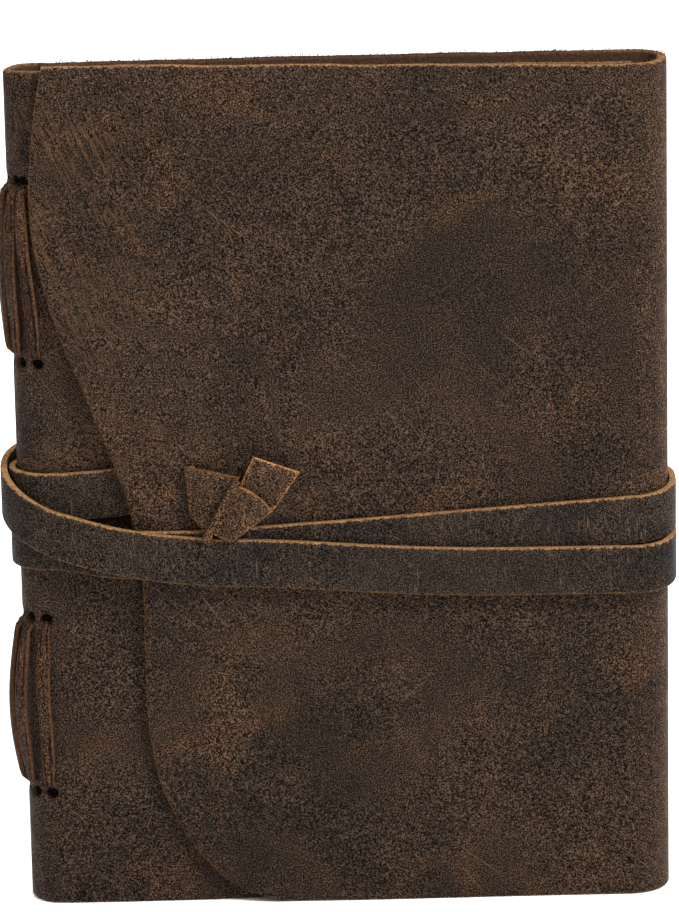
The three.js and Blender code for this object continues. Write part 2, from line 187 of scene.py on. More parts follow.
def free_edge(z):
    """The flap's free edge: straight low down, swept out above, rounded at both corners."""
    sweep = FLAP_SWEEP * smooth(*FLAP_SWEEP_HEIGHTS, z)
    climb = np.maximum(0, (z - FLAP_TOP_CORNER_FROM) / (COVER_HEIGHT - FLAP_TOP_CORNER_FROM))
    drop = np.clip((FLAP_BOTTOM_RADIUS - z) / FLAP_BOTTOM_RADIUS, 0, 1)
    bottom_corner = FLAP_BOTTOM_REACH * (1 - np.sqrt(1 - drop * drop))
    return FLAP_EDGE_X - sweep + FLAP_TOP_CORNER * climb ** 2 + bottom_corner


# ---------- outlines in plan: arrays of x, y, normal x, normal y ----------

def line(x0, y0, x1, y1, nx, ny, steps):
    t = np.linspace(0, 1, steps + 1)
    x, y = x0 + (x1 - x0) * t, y0 + (y1 - y0) * t
    return np.stack([x, y, np.full_like(t, nx), np.full_like(t, ny)], -1)


def flat_run(x, y, ny):
    """A straight run along x through the given positions."""
    return np.stack([x, np.full_like(x, y), np.zeros_like(x), np.full_like(x, ny)], -1)


def arc(centre, radius, start, end, steps):
    a = np.radians(np.linspace(start, end, steps + 1))
    nx, ny = np.cos(a), np.sin(a)
    return np.stack([centre[0] + radius * nx, centre[1] + radius * ny, nx, ny], -1)


def near_ends(length, fine, steps, at_start=True):
    """Positions from 0 to length, close together beside a raw edge."""
    close = [fine * share for share in (0, 0.08, 0.3, 0.62)]
    inner = np.linspace(fine if at_start else 0, length - fine, steps + 1)
    start = close if at_start else []
    return np.array([*start, *inner, *[length - c for c in reversed(close)]])


HEIGHTS = near_ends(COVER_HEIGHT, 0.8, 88)


# ---------- meshes ----------

def new_piece(name, points, faces, material, **attributes):
    mesh = bpy.data.meshes.new(name)
    points = np.array(points, float)
    # Nothing reaches below the floor.
    points[:, 2] = np.maximum(points[:, 2], 0)
    row = (points + [CENTRE_X, CENTRE_Y, 0]) / 1000
    mesh.from_pydata(row.tolist(), [], [tuple(map(int, f)) for f in faces])
    for polygon in mesh.polygons:
        polygon.use_smooth = True
    rest = mesh.attributes.new("rest", "FLOAT_VECTOR", "POINT")
    rest.data.foreach_set("vector", points.astype(np.float32).ravel())
    for key, values in attributes.items():
        layer = mesh.attributes.new(key, "FLOAT", "POINT")
        layer.data.foreach_set("value", np.asarray(values, np.float32).ravel())
    mesh.materials.append(material)
    piece = bpy.data.objects.new(name, mesh)
    bpy.context.collection.objects.link(piece)
    return piece


def grid_faces(rows, columns, offset=0, flip=False):
    faces = []
    for i in range(rows - 1):
        for j in range(columns - 1):
            a = offset + i * columns + j
            quad = (a, a + 1, a + columns + 1, a + columns)
            faces.append(quad[::-1] if flip else quad)
    return faces


def rim_faces(rows, columns, flip=False):
    """Joins the rim of a grid to the rim of the grid that follows it in the mesh."""
    top = list(range(columns))
    right = [i * columns + columns - 1 for i in range(1, rows)]
    bottom = [(rows - 1) * columns + j for j in range(columns - 2, -1, -1)]
    left = [i * columns for i in range(rows - 2, 0, -1)]
    loop = top + right + bottom + left
    other = rows * columns
    faces = []
    for a, b in zip(loop, loop[1:] + loop[:1]):
        quad = (a, a + other, b + other, b)
        faces.append(quad[::-1] if flip else quad)
    return faces


def thick_sheet(middle, normal, thickness, rim_distance, soft=0.7, flip=False):
    """Points, faces and per-point rim and flesh values of a sheet whose raw edges are rounded."""
    rows, columns = rim_distance.shape
    near = soft - np.minimum(rim_distance, soft)
    half = thickness / 2 - soft + np.sqrt(np.maximum(soft ** 2 - near ** 2, 0))
    half = np.maximum(half, thickness * 0.2)[..., None]
    outer = middle + normal * half
    inner = middle - normal * half
    points = np.concatenate([outer.reshape(-1, 3), inner.reshape(-1, 3)])
    faces = grid_faces(rows, columns, 0, flip)
    faces += grid_faces(rows, columns, rows * columns, not flip)
    faces += rim_faces(rows, columns, flip)
    rim = np.concatenate([rim_distance.ravel()] * 2)
    flesh = np.concatenate([np.zeros(rows * columns), np.ones(rows * columns)])
    return points, faces, rim, flesh


class Fibres:
    """Loose fibres standing off a raw edge, as thin tapered blades."""

    def __init__(self, seed):
        self.random = random.Random(seed)
        self.points = []
        self.faces = []

    def add(self, root, direction, length, width=0.09):
        r = self.random
        wander = Vector([r.gauss(0, 0.45) for _ in range(3)])
        direction = (Vector(direction) + wander).normalized()
        side = direction.cross(Vector((r.gauss(0, 1), r.gauss(0, 1), r.gauss(0, 1)))).normalized()
        curl = Vector([r.gauss(0, 0.35) for _ in range(3)])
        root = Vector(root)
        first = len(self.points)
        for share, taper in ((0, 1), (0.5, 0.8)):
            centre = root + (direction * share + curl * share * share) * length
            self.points += [centre - side * width / 2 * taper, centre + side * width / 2 * taper]
        self.points.append(root + (direction + curl) * length)
        self.faces += [(first, first + 1, first + 3, first + 2), (first + 2, first + 3, first + 4)]

    def along(self, path, outward, per_mm, longest, width=0.09):
        """Fibres along a polyline of points, leaning to the matching outward directions."""
        for a, b, out in zip(path[:-1], path[1:], outward[:-1]):
            a, b = Vector(a), Vector(b)
            expected = (b - a).length * per_mm
            count = int(expected) + (self.random.random() < expected % 1)
            for _ in range(count):
                length = 0.25 + longest * self.random.random() ** 3
                self.add(a.lerp(b, self.random.random()), out, length, width)


def with_fibres(points, faces, rim, flesh, fibres):
    """Appends fibres to a sheet; their own rim value is 0, as on the raw edge."""
    offset = len(points)
    extra = np.array([tuple(p) for p in fibres.points]).reshape(-1, 3)
    faces = faces + [tuple(offset + i for i in face) for face in fibres.faces]
    points = np.concatenate([points, extra])
    rim = np.concatenate([rim, np.zeros(len(extra))])
    flesh = np.concatenate([flesh, np.zeros(len(extra))])
    return points, faces, rim, flesh


# ---------- materials ----------

class Graph:
    """A short way to write a material's node tree."""

    def __init__(self, name):
        self.material = bpy.data.materials.new(name)
        self.material.use_nodes = True
        self.tree = self.material.node_tree
        self.shader = self.tree.nodes["Principled BSDF"]

    def put(self, socket, value):
        if isinstance(value, bpy.types.NodeSocket):
            self.tree.links.new(value, socket)
        elif isinstance(value, (tuple, list)) and len(value) == 3 and len(socket.default_value) == 4:
            socket.default_value = (*value, 1)
        else:
            socket.default_value = value

    def node(self, kind, inputs=(), **settings):
        node = self.tree.nodes.new("ShaderNode" + kind)
        for key, value in settings.items():
            setattr(node, key, value)
        for key, value in dict(inputs).items():
            self.put(node.inputs[key], value)
        return node

    def attribute(self, name, output="Fac"):
        return self.node("Attribute", attribute_name=name).outputs[output]

    def math(self, operation, a, b):
        node = self.node("Math", operation=operation)
        for socket, value in zip(node.inputs, (a, b)):
            self.put(socket, value)
        return node.outputs[0]

    def mix(self, factor, a, b):
        node = self.node("Mix", data_type="RGBA")
        self.put(node.inputs[0], factor)
        self.put(node.inputs[6], a)
        self.put(node.inputs[7], b)
        return node.outputs[2]

    def scaled(self, colour, factor):
        """A colour times a number that varies over the surface."""
        node = self.node("VectorMath", operation="SCALE")
        self.put(node.inputs[0], colour)
        self.put(node.inputs["Scale"], factor)
        return node.outputs[0]

    def turned(self, vector, degrees, scale):
        """Rotates about y, then stretches."""
        inputs = {"Vector": vector, "Angle": math.radians(degrees)}
        spin = self.node("VectorRotate", inputs, rotation_type="Y_AXIS")
        return self.node("VectorMath", {0: spin.outputs[0], 1: scale}, operation="MULTIPLY").outputs[0]

    def noise(self, vector, size, detail=2.0, roughness=0.5, distortion=0.0):
        inputs = {
            "Vector": vector, "Scale": 1 / size, "Detail": detail, "Roughness": roughness,
            "Distortion": distortion}
        return self.node("TexNoise", inputs).outputs["Fac"]

    def cells(self, vector, size):
        return self.node("TexVoronoi", {"Vector": vector, "Scale": 1 / size}).outputs["Distance"]

    def between(self, value, low, high, to_low=0.0, to_high=1.0):
        inputs = {"Value": value, "From Min": low, "From Max": high, "To Min": to_low, "To Max": to_high}
        return self.node("MapRange", inputs, interpolation_type="SMOOTHSTEP").outputs[0]

    def bump(self, height, distance, strength=1.0, normal=None):
        node = self.node("Bump", {"Height": height, "Distance": distance, "Strength": strength})
        if normal:
            self.put(node.inputs["Normal"], normal)
        return node.outputs[0]

    def set(self, **values):
        for key, value in values.items():
            self.put(self.shader.inputs[key.replace("_", " ")], value)
        return self.material


def leather(
        name, dark, middle, warm, edge, flesh,
        marks=0.0, wrinkled=False, rim_width=0.22, scuffed=0.5):
    """Waxed hide: mottled, finely grained and scuffed, with raw tan edges and a suede back."""
    g = Graph(name)
    rest = g.attribute("rest", "Vector")
    broad = g.noise(rest, 34, 4, 0.55, 0.6)
    blotch = g.noise(rest, 17, 4, 0.5, 0.8)
    cloud = g.noise(g.turned(rest, 25, (1, 1, 0.6)), 19, 4, 0.6)
    fine = g.noise(rest, 1.3, 3, 0.6)
    speck = g.noise(rest, 0.33, 2, 0.6)
    colour = g.mix(g.between(broad, 0.34, 0.64), dark, middle)
    colour = g.mix(g.math("MULTIPLY", g.between(blotch, 0.5, 0.74), 0.5), colour, warm)
    colour = g.mix(g.math("MULTIPLY", g.between(cloud, 0.46, 0.72), 0.25), colour, dark)
    # Grain: small rubbed tops on a darker ground.
    tops = g.between(speck, 0.28, 0.76)
    grain = g.math("MULTIPLY", g.math("MULTIPLY", tops, tops), g.between(fine, 0.3, 0.7, 3.2, 4.5))
    colour = g.scaled(colour, grain)
    # Scuffs: hairlines at a few angles, each broken up along its length.
    scuffs = 0.0
    for degrees, length, threshold in ((40, 26, 0.735), (-38, 34, 0.71), (-55, 22, 0.715)):
        thin = g.noise(g.turned(rest, degrees, (1 / length, 0.4, 4.2)), 1, 1, 0.4)
        scuffs = g.math("MAXIMUM", scuffs, g.between(thin, threshold, threshold + 0.07))
    scuffs = g.math("MULTIPLY", scuffs, g.between(g.noise(rest, 21, 2), 0.48, 0.62, 0.05, 1.0))
    colour = g.mix(g.math("MULTIPLY", scuffs, scuffed), colour, g.scaled(middle, 3.6))
    height = g.math("ADD", speck, g.math("MULTIPLY", g.cells(rest, 0.6), 0.5))
    height = g.math("ADD", height, g.math("MULTIPLY", fine, 0.3))
    if marks:
        # Fine stretch marks across the strap's width.
        across = g.noise(g.turned(rest, 6, (3.2, 3.2, 0.3)), 1, 2, 0.6, 1.2)
        broken = g.between(g.noise(rest, 7, 2), 0.36, 0.58)
        lines = g.math("MULTIPLY", g.between(across, 0.58, 0.66), broken)
        colour = g.mix(g.math("MULTIPLY", lines, marks), colour, g.scaled(warm, 2.8))
        height = g.math("SUBTRACT", height, g.math("MULTIPLY", lines, 0.6))
    if wrinkled:
        # Growth wrinkles that sweep down from the flap's upper left, and creases left of the knot.
        split = g.node("SeparateXYZ", {"Vector": rest})
        fields = (
            (22, (-38, -60), (120, 165), (201, 185)),
            (78, (-38, -44), (104, 110), (126, 116)),
        )
        for degrees, left_of, above, below in fields:
            strands = g.noise(g.turned(rest, degrees, (1.7, 0.5, 0.13)), 1, 2, 0.4, 0.6)
            ridge = g.between(strands, 0.49, 0.56)
            for limit in (
                g.between(strands, 0.66, 0.58),
                g.between(split.outputs["X"], *left_of),
                g.between(split.outputs["Z"], *above),
                g.between(split.outputs["Z"], *below),
                g.between(g.noise(rest, 14, 2), 0.35, 0.6),
            ):
                ridge = g.math("MULTIPLY", ridge, limit)
            colour = g.mix(g.math("MULTIPLY", ridge, 0.6), colour, g.scaled(warm, 1.9))
            height = g.math("ADD", height, g.math("MULTIPLY", ridge, 1.2))
    # Wear lightens folds and the run up to each raw edge.
    uneven = g.between(g.noise(rest, 3.2, 4, 0.7), 0.3, 0.7, 0.2, 1.0)
    wear = g.math("MULTIPLY", g.attribute("wear"), uneven)
    colour = g.mix(g.math("MULTIPLY", wear, 0.6), colour, g.scaled(warm, g.math("MULTIPLY", grain, 1.3)))
    suede = g.scaled(flesh, g.between(g.noise(rest, 0.6, 3, 0.7), 0.3, 0.7, 0.6, 1.35))
    colour = g.mix(g.attribute("flesh"), colour, suede)
    # The raw edge: a ragged tan line, as light as "pale" says; on the wrap strap, pale also holds painted
    # shade, darker on the lower edge.
    uneven = g.between(g.noise(rest, 0.8, 3, 0.7), 0.25, 0.75, -0.3, 0.3)
    ragged = g.math("ADD", g.attribute("rim"), uneven)
    raw = g.between(ragged, rim_width, rim_width * 0.3)
    tone = g.between(g.noise(rest, 0.5, 3, 0.75), 0.3, 0.7, 0.4, 1.4)
    colour = g.mix(raw, colour, g.scaled(edge, g.math("MULTIPLY", tone, g.attribute("pale"))))
    # The lace holes are dark inside.
    # Painted shade: the colour is darkened to a few percent inside the lace holes.
    colour = g.scaled(colour, g.between(g.attribute("pit"), 0.15, 0.75, 1.0, 0.06))
    rough = g.between(g.noise(rest, 5, 3, 0.6), 0.3, 0.7, 0.46, 0.64)
    normal = g.bump(height, 0.00016, 0.8, g.bump(blotch, 0.0012, 0.5))
    return g.set(Base_Color=colour, Roughness=rough, Normal=normal, Specular_IOR_Level=0.03)


def paper(name):
    """Thick hand-made paper with fibres and slightly darker deckled edges."""
    g = Graph(name)
    rest = g.attribute("rest", "Vector")
    cloud = g.noise(rest, 9, 4, 0.6)
    strands = g.noise(g.turned(rest, 30, (0.5, 3, 2)), 1, 3, 0.6)
    colour = g.mix(g.between(cloud, 0.35, 0.65), (0.36, 0.295, 0.2), (0.42, 0.355, 0.255))
    colour = g.mix(g.math("MULTIPLY", g.between(strands, 0.62, 0.72), 0.4), colour, (0.26, 0.2, 0.12))
    deckle = g.between(g.attribute("rim"), 2.5, 0.0)
    colour = g.mix(g.math("MULTIPLY", deckle, 0.55), colour, (0.27, 0.2, 0.12))
    normal = g.bump(g.noise(rest, 0.7, 4, 0.7), 0.0002, 0.6)
    return g.set(Base_Color=colour, Roughness=0.88, Normal=normal, Specular_IOR_Level=0.2)


TAN = (0.21, 0.105, 0.043)
# The hide's flesh colour is partly its own suede tone and partly painted shade, kept dark for the shaded
# inside seen between the covers at the top.
HIDE_LEATHER = leather(
    "hide", dark=(0.0162, 0.0105, 0.0075), middle=(0.026, 0.0158, 0.0103), warm=(0.046, 0.0235, 0.0118),
    edge=TAN, flesh=(0.042, 0.022, 0.012), wrinkled=True, scuffed=0.75)
STRAP_LEATHER = leather(
    "strap", dark=(0.0108, 0.0082, 0.0067), middle=(0.0195, 0.0136, 0.01), warm=(0.034, 0.0208, 0.013),
    edge=(0.19, 0.098, 0.041), flesh=(0.06, 0.032, 0.017), marks=0.7, rim_width=0.4, scuffed=0.12)
LACE_LEATHER = leather(
    "lace", dark=(0.019, 0.0105, 0.0068), middle=(0.033, 0.0175, 0.0105), warm=(0.066, 0.029, 0.0135),
    edge=(0.06, 0.0285, 0.0145), flesh=(0.07, 0.03, 0.014), rim_width=0.24)
KNOT_LEATHER = leather(
    "knot", dark=(0.02, 0.0125, 0.0085), middle=(0.034, 0.02, 0.0125), warm=(0.085, 0.038, 0.016),
    edge=(0.2, 0.095, 0.038), flesh=(0.1, 0.045, 0.02), marks=0.25, rim_width=0.45)
PAPER = paper("paper")


# ---------- the hide ----------

def edge_wave(x, y, z):
    """Small unevenness of the cut upper and lower edges, in mm."""
    points = np.stack(np.broadcast_arrays(x, y, z), -1)
    return 0.35 * noise_at(points, 16, 7.7) + 0.12 * noise_at(points, 3.1, 1.9)


def hide_piece(outline, heights, free_end=False, reach=None, front=False):
    """A sheet that follows an outline in plan. free_end says that the outline ends in a raw edge,
    reach moves its points along the flat front, and front says that it lies over the strap's
    first run."""
    z = heights[:, None] * np.ones(len(outline))
    x = outline[:, 0] * np.ones_like(z)
    y = outline[:, 1] * np.ones_like(z)
    if reach is not None:
        x = reach(outline, z)
    nx = outline[:, 2] * np.ones_like(z)
    ny = outline[:, 3] * np.ones_like(z)
    facing = np.maximum(0, -ny)
    span = COVER_HEIGHT
    wave = edge_wave(x, y, np.where(z > span / 2, span, 0.0))
    near_top = smooth(span - 10, span, z)
    near_foot = 1 - smooth(0, 10, z)
    y = y + facing * (pinch(x, z) + sway(x, z) * smooth(0, 14, STRIP_X - x))
    if front:
        y = y - facing * lift(x, z)
    rim = np.minimum(z, span - z)
    steps = np.hypot(np.diff(x, axis=1), np.diff(y, axis=1))
    along = np.concatenate([np.zeros((len(z), 1)), np.cumsum(steps, axis=1)], axis=1)
    if free_end:
        rim = np.minimum(rim, along[:, -1:] - along)
    # The flap's upper edge climbs towards its free end.
    taller = FLAP_RISE * (1 - smooth(-60, STRIP_X, x)) * front
    shift = np.where(z > span / 2, (wave + taller) * near_top, np.maximum(wave + 0.2, 0) * near_foot)
    middle = np.stack([x, y, z + shift], -1)
    normal = np.stack([nx, ny, np.zeros_like(nx)], -1)
    return middle, normal, rim, x, z


def sheet_object(name, middle, normal, rim, wear, fibres, pale, pit=None, flip=False):
    """pale is how light the raw edge is at each point; the hole mask is 1 where a lace hole sinks in, and
    there it also darkens the colour as painted shade.
    """
    pit = np.zeros_like(rim) if pit is None else pit
    points, faces, rims, flesh = thick_sheet(middle, normal, HIDE, rim, flip=flip)
    # A hole sinks the grain side to the flesh side; only its lip is left proud.
    sunk = (normal * -(pit * HIDE * 0.75)[..., None]).reshape(-1, 3)
    points[:len(sunk)] += sunk
    extra = len(fibres.points)
    points, faces, rims, flesh = with_fibres(points, faces, rims, flesh, fibres)
    values = {"wear": wear, "pale": pale, "pit": pit}
    layers = {key: np.concatenate([*[v.ravel()] * 2, np.zeros(extra)]) for key, v in values.items()}
    layers["pale"][-extra:] = pale.mean() * 0.8
    return new_piece(name, points, faces, HIDE_LEATHER, rim=rims, flesh=flesh, **layers)


def edge_fibres(middle, normal, seed, free=None, per_mm=1.6, longest=0.9):
    """Fibres on both faces of a sheet's raw edges."""
    fibres = Fibres(seed)
    half = HIDE / 2 - 0.25
    up = Vector((0, 0, 1))
    for side in (half, -half * 0.8, 0):
        surface = middle + normal * side
        fibres.along(surface[-1], [up] * surface.shape[1], per_mm, longest, 0.12)
        fibres.along(surface[0], [-up * 0.3 + Vector(n) for n in normal[0]], per_mm * 0.4, 0.4)
        if free is not None:
            edge = surface[:, free]
            fibres.along(edge, [Vector((-1, -0.2, 0.1))] * len(edge), per_mm * 0.7, 0.55)
    return fibres


def back_hide():
    outline = np.concatenate([
        line(STRIP_X, FOLD_Y, STRIP_X, BACK_CORNER[1], 1, 0, 2),
        arc(BACK_CORNER, BACK_CORNER_RADIUS, 0, 90, 16)[1:],
        line(BACK_CORNER[0], COVER_MID, SPINE_X, COVER_MID, 0, 1, 60)[1:],
    ])
    middle, normal, rim, x, z = hide_piece(outline, HEIGHTS)
    wear = 0.75 * smooth(66, 76, x) + 0.4 * (1 - smooth(0, 3, rim))
    fibres = edge_fibres(middle, normal, 11, per_mm=3.6, longest=1.7)
    pale = 0.14 + 0.4 * smooth(45, 76, x)
    piece = sheet_object("back_hide", middle, normal, rim, wear, fibres, pale)
    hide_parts("back_cover", "fore_edge_strip")
    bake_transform(piece)


def flap_reach(outline, z):
    """Stretches the flat part of the flap's outline to its free edge at each height."""
    corner = FRONT_CORNER[0]
    share = np.clip((corner - outline[:, 0]) / (corner - outline[-1, 0]), 0, 1)
    flat = outline[:, 0] <= corner
    edge = free_edge(z)
    rough = 0.35 * noise_at(np.stack([0 * z, 0 * z, z], -1), 9, 5.1)
    target = corner + (edge + rough - corner) * share
    return np.where(flat, target, outline[:, 0])


def flap_hide():
    flat = FRONT_CORNER[0] - near_ends(FLAP_WIDTH, 0.65, 76, at_start=False)
    low_rows = FLAP_BOTTOM_RADIUS * (1 - np.cos(np.linspace(0, math.pi / 2, 26)))
    heights = np.unique(np.concatenate([HEIGHTS, low_rows, [0.35, 0.7, 1.1, 1.6, 2.2]]))
    outline = np.concatenate([
        line(STRIP_X, FOLD_Y, STRIP_X, FRONT_CORNER[1], 1, 0, 2),
        arc(FRONT_CORNER, FRONT_CORNER_RADIUS, 0, -90, 22)[1:],
        flat_run(flat, -FLAP_MID, -1)[1:],
    ])
    middle, normal, rim, x, z = hide_piece(
        outline, heights, free_end=True, reach=flap_reach, front=True)
    # Wear: the fore-edge fold, the free edge (most low down) and a rubbed spot left of the knot.
    beside = x - free_edge(z)
    spot = np.hypot(x + 41, (z - 102.5) * 0.8)
    wear = 0.85 * smooth(71, 76, x) + 0.225 * smooth(62, 73, x)
    wear += 0.5 * (1 - smooth(0, 2.2, beside)) * (0.4 + 0.6 * (1 - smooth(20, 120, z)))
    wear += 1 - smooth(0.6, 3.2, spot)
    wear = np.clip(wear, 0, 1)
    fibres = edge_fibres(middle, normal, 12, free=-1)
    on_free_edge = rim < np.minimum(z, COVER_HEIGHT - z) - 1e-6
    pale = np.where(on_free_edge, 0.48 + 0.12 * (1 - smooth(5, 60, z)), 0.75)
    piece = sheet_object("flap_hide", middle, normal, rim, wear, fibres, pale, flip=True)
    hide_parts("flap")
    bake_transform(piece)


def spaced(values, least):
    """The values in order, without those closer than least to the one before; the ends stay."""
    ordered = sorted(values)
    kept = [ordered[0]]
    for value in ordered[1:-1]:
        if value - kept[-1] >= least and ordered[-1] - value >= least:
            kept.append(value)
    return np.array([*kept, ordered[-1]])


def lace_holes():
    """The angle from the spine's outermost line and the height of every hole. Each hole shows
    beyond its lace's end."""
    heights = [height + HOLE_SHOWS * side for height, side in zip(STATIONS, (-1, 1, -1, 1))]
    holes = [(angle, height) for angle in LACE_ANGLES for height in heights]
    holes.remove((LACE_ANGLES[0], heights[3]))
    return holes + [(LEANING_LACE_TOP, heights[3])]


def front_hide():
    flat = SPINE_X + near_ends(FRONT_COVER_EDGE - SPINE_X, 0.65, 64, at_start=False)
    # Extra rows and columns run through the holes, so that each can sink in.
    near_hole = np.array([-1.2, -0.8, -0.4, 0, 0.4, 0.8, 1.2]) * HOLE_RADIUS
    hole_heights = [height + step for _, height in lace_holes() for step in near_hole]
    heights = spaced(np.concatenate([HEIGHTS, hole_heights]), 0.25)
    near_angles = np.degrees(near_hole / COVER_OUTER)
    hole_angles = [180 + angle + step for angle, _ in lace_holes() for step in near_angles]
    turn = np.radians(spaced(np.concatenate([np.linspace(90, 270, 37), hole_angles]), 1.5))
    nx, ny = np.cos(turn), np.sin(turn)
    spine = np.stack([SPINE_X + COVER_MID * nx, COVER_MID * ny, nx, ny], -1)
    outline = np.concatenate([spine, flat_run(flat, -COVER_MID, -1)[1:]])
    middle, normal, rim, x, z = hide_piece(outline, heights, free_end=True)
    # The hole mask sinks each lace hole and darkens it with painted shade.
    pit = np.zeros_like(z)
    for angle, height in lace_holes():
        out = np.array([-math.cos(math.radians(angle)), -math.sin(math.radians(angle)), 0])
        centre = np.array([SPINE_X, 0, height]) + out * COVER_MID
        distance = np.linalg.norm(middle - centre, axis=-1)
        pit = np.maximum(pit, 1 - smooth(HOLE_RADIUS * 0.55, HOLE_RADIUS * 1.3, distance))
    wear = 0.25 * (1 - smooth(-77, -71, x)) + 0.35 * (1 - smooth(0, 2.5, rim))
    fibres = edge_fibres(middle, normal, 13)
    pale = np.full_like(z, 0.55)
    piece = sheet_object("front_hide", middle, normal, rim, wear, fibres, pale, pit)
    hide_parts("spine", "front_cover")
    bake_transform(piece)


# ---------- straps ----------

def ribbon(path, out, width, thickness, across=None, corner=0.42):
    """A flat strap swept along a path. out is the outward direction at each point, across the
    direction of its width, and both are unit vectors. corner is the radius of its section's corners."""
    path = np.asarray(path, float)
    if across is None:
        across = np.tile([0.0, 0.0, 1.0], (len(path), 1))
    section = []
    w, t, r = width / 2, thickness / 2, corner
    for side, face, start in ((1, 1, 0), (-1, 1, 90), (-1, -1, 180), (1, -1, 270)):
        for step in range(5):
            a = math.radians(start + step * 22.5)
            section.append((side * (w - r) + r * math.cos(a), face * (t - r) + r * math.sin(a)))
        if side == face:
            section += [(face * w * s, face * t) for s in (0.75, 0.5, 0.25, 0, -0.25, -0.5, -0.75)]
    section = np.array(section)
    count = len(section)
    points = path[:, None] + across[:, None] * section[None, :, :1] + out[:, None] * section[None, :, 1:]
    faces = []
    for i in range(len(path) - 1):
        for j in range(count):
            k = (j + 1) % count
            a, b = i * count, (i + 1) * count
            faces.append((a + j, b + j, b + k, a + k))
    faces += [tuple(range(count)), tuple((len(path) - 1) * count + j for j in reversed(range(count)))]
    rim = np.tile(w - np.abs(section[:, 0]), (len(path), 1))
    flesh = np.tile((section[:, 1] < -t + 0.3).astype(float), (len(path), 1))
    wear = np.clip(1 - rim / 1.6, 0, 1) * 0.6
    return points.reshape(-1, 3), faces, rim.ravel(), flesh.ravel(), wear.ravel()


def strap_piece(name, data, material, fibres=None, path=None):
    """A finished ribbon; with its path given, its raw edge is pale above the path and darker below, as
    painted shade on the edge that faces down.
    """
    points, faces, rim, flesh, wear = data
    upper = np.ones(len(points))
    if path is not None:
        middle = np.repeat(path[:, 2], len(points) // len(path))
        # Painted shade: the raw edge below the path faces down and is made darker than the edge above.
        upper = np.where(points[:, 2] > middle, 1.0, 0.45)
    if fibres:
        points, faces, rim, flesh = with_fibres(points, faces, rim, flesh, fibres)
        wear = np.concatenate([wear, np.zeros(len(fibres.points))])
        upper = np.concatenate([upper, np.full(len(fibres.points), 0.7)])
    return new_piece(name, points, faces, material, rim=rim, flesh=flesh, wear=wear, pale=upper)


def with_height(outline, start, end):
    rise = smooth(0, 1, np.linspace(0, 1, len(outline)))
    return np.stack([outline[:, 0], outline[:, 1], start + (end - start) * rise], -1)


def spine_turn(radius, start, end):
    return with_height(arc((SPINE_X, 0), radius, 270, 90, 60), start, end)


def last_turn(start, end):
    """The outermost turn starts a little proud and climbs quickly to the tail's height."""
    proud = smooth(STEP_FEET[1], STEP_TOP, SPINE_X) * (STRAP_FRONT - STRAP_ROUND)
    outline = arc((SPINE_X, 0), STRAP_OUTSIDE, 270, 90, 60)
    share = np.linspace(0, 1, len(outline))
    extra = proud * (1 - smooth(0, 0.6, share))
    plan = outline[:, :2] + outline[:, 2:] * extra[:, None]
    return np.stack([plan[:, 0], plan[:, 1], start + (end - start) * np.sin(share * math.pi / 2)], -1)


def back_run(y, start, end):
    return with_height(line(SPINE_X, y, BACK_CORNER[0], y, 0, 1, 70), start, end)[1:]


def fore_edge_turn(start, end, step):
    """Round the fore-edge fold; step is how much further out the strap ends than it starts."""
    back = arc(BACK_CORNER, BACK_CORNER_RADIUS + HIDE / 2 + STRAP_LAYER, 90, 0, 20)[1:]
    front = arc(FRONT_CORNER, FRONT_CORNER_RADIUS + HIDE / 2 + STRAP_LAYER, 0, -90, 26)
    extra = step * smooth(0, 20, np.arange(len(front)))
    front[:, :2] += front[:, 2:] * extra[:, None]
    return with_height(np.concatenate([back, front]), start, end)


def front_run(turn):
    """Across the front, one layer out for each turn, stepping down off the flap at its free edge."""
    places = [FRONT_CORNER[0], *DIP_X, SPINE_X]
    heights = [FOLD_HEIGHTS[turn], *DIPS[turn], SPINE_HEIGHTS[turn]]
    x = np.linspace(places[0], places[-1], 150)
    z = cubic(np.array(places[::-1]), np.array(heights[::-1]), x)
    on_flap = smooth(STEP_FEET[turn], STEP_TOP, x)
    over_flap = STRAP_FRONT - STRAP_ROUND + lift(x, z)
    y = -STRAP_ROUND - on_flap * over_flap - turn * STRAP_PITCH
    y = y + sway(x, z) * smooth(0, 14, STRIP_X - x) * smooth(SPINE_X, SPINE_X + 8, x)
    return np.stack([x, y, z], -1)[1:-1]


def cubic(xs, values, at):
    """A smooth curve through the values, with its slopes taken from their neighbours."""
    slopes = np.gradient(values, xs)
    index = np.clip(np.searchsorted(xs, at) - 1, 0, len(xs) - 2)
    width = xs[index + 1] - xs[index]
    t = (at - xs[index]) / width
    return (
        values[index] * (1 + 2 * t) * (1 - t) ** 2 + slopes[index] * width * t * (1 - t) ** 2
        + values[index + 1] * t * t * (3 - 2 * t) + slopes[index + 1] * width * t * t * (t - 1))


def anchor_run():
    """Down through the slit from the knot, then left beneath the flap."""
    bend = STRAP_THICKNESS / 2 + 0.2
    centre = (SLIT_X - bend, -STRAP_ROUND - bend)
    head = line(SLIT_X, KNOT_BASE, SLIT_X, centre[1], 1, 0, 4)
    corner = arc(centre, bend, 0, 90, 8)[1:]
    run = line(centre[0], -STRAP_ROUND, SPINE_X, -STRAP_ROUND, 0, -1, 40)[1:]
    level = with_height(np.concatenate([head, corner]), SLIT_HEIGHT, SLIT_HEIGHT)
    return np.concatenate([level, with_height(run, SLIT_HEIGHT, ANCHOR_HEIGHT)])


def strap_out(path):
    """The outward direction of a strap that winds clockwise as seen from above, standing on edge."""
    along = unit(np.gradient(path[:, :2], axis=0))
    return np.stack([-along[:, 1], along[:, 0], np.zeros(len(path))], -1)


def strap_edges(path, out, seed):
    """Fibres on the strap's cut edges, more above than below."""
    fibres = Fibres(seed)
    for lean, per_mm in ((1, 1.0), (-1, 0.4)):
        outward = [Vector((0, 0, lean)) + Vector(o) * 0.3 for o in out]
        for side in (0.5, -0.3):
            edge = path + out * side + [0, 0, lean * (STRAP_WIDTH / 2 - 0.1)]
            fibres.along(edge, outward, per_mm, 0.6, 0.08)
    return fibres


